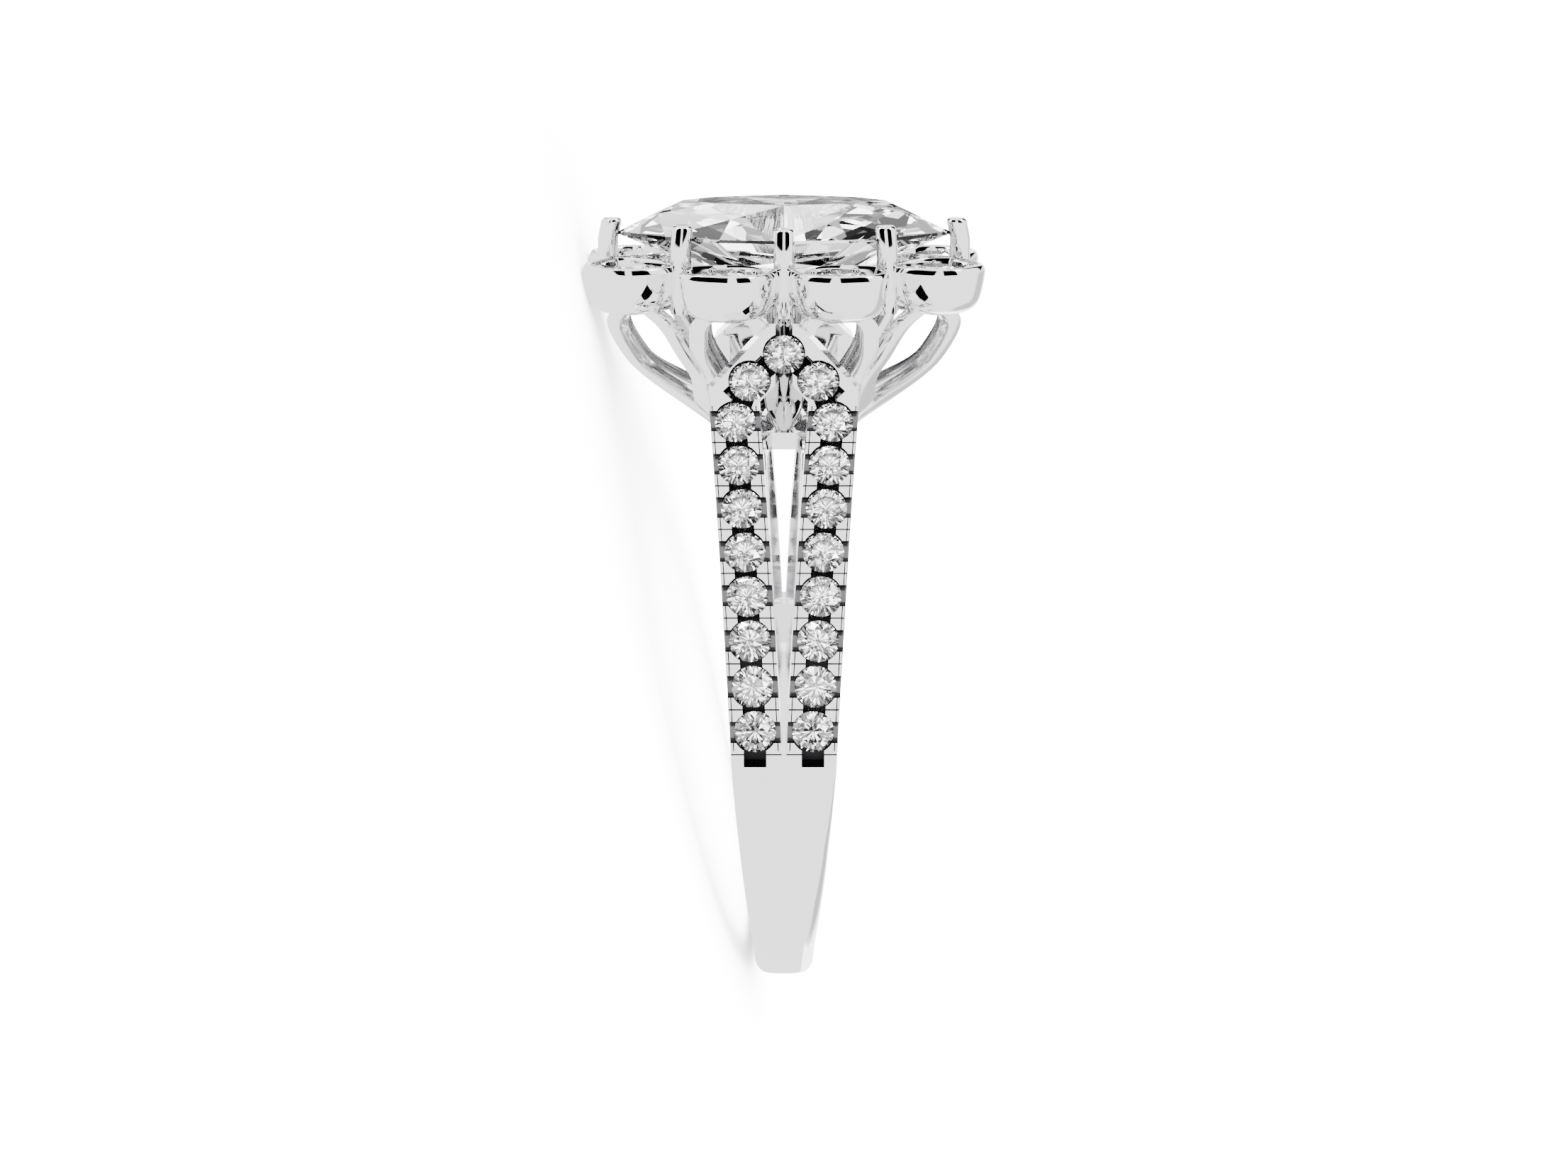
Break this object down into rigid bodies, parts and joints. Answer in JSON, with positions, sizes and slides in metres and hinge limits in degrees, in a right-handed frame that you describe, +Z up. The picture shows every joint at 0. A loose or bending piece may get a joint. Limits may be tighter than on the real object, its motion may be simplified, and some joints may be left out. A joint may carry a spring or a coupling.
{
  "type": "split shank ring",
  "caption": "Finger ring laid on its side: split pave shoulders meet under a raised marquise stone in a halo of round stones in petal-shaped cups.",
  "frame": {"origin": "centre of the bounding box's underside, on the surface the ring lies on", "axes": "+X from the head to the bottom of the hoop, +Y away from the camera, +Z up; the finger hole runs close to Z"},
  "size_m": [0.027, 0.0212, 0.0129],
  "materials": {
    "white_gold": "polished white gold",
    "diamond": "clear cut diamond",
    "accent_diamond": "clear cut diamond"
  },
  "bodies": {
    "root": {"mount": "white_gold", "centre_stone": "diamond", "petal_stone_1": "diamond", "petal_stone_2": "diamond", "petal_stone_3": "diamond", "petal_stone_4": "diamond", "petal_stone_5": "diamond", "petal_stone_6": "diamond", "petal_stone_7": "diamond", "petal_stone_8": "diamond", "accents_front_upper": "accent_diamond", "accents_front_lower": "accent_diamond", "accents_back_upper": "accent_diamond", "accents_back_lower": "accent_diamond", "apex_stone_front": "accent_diamond", "apex_stone_back": "accent_diamond"}
  },
  "joints": []
}
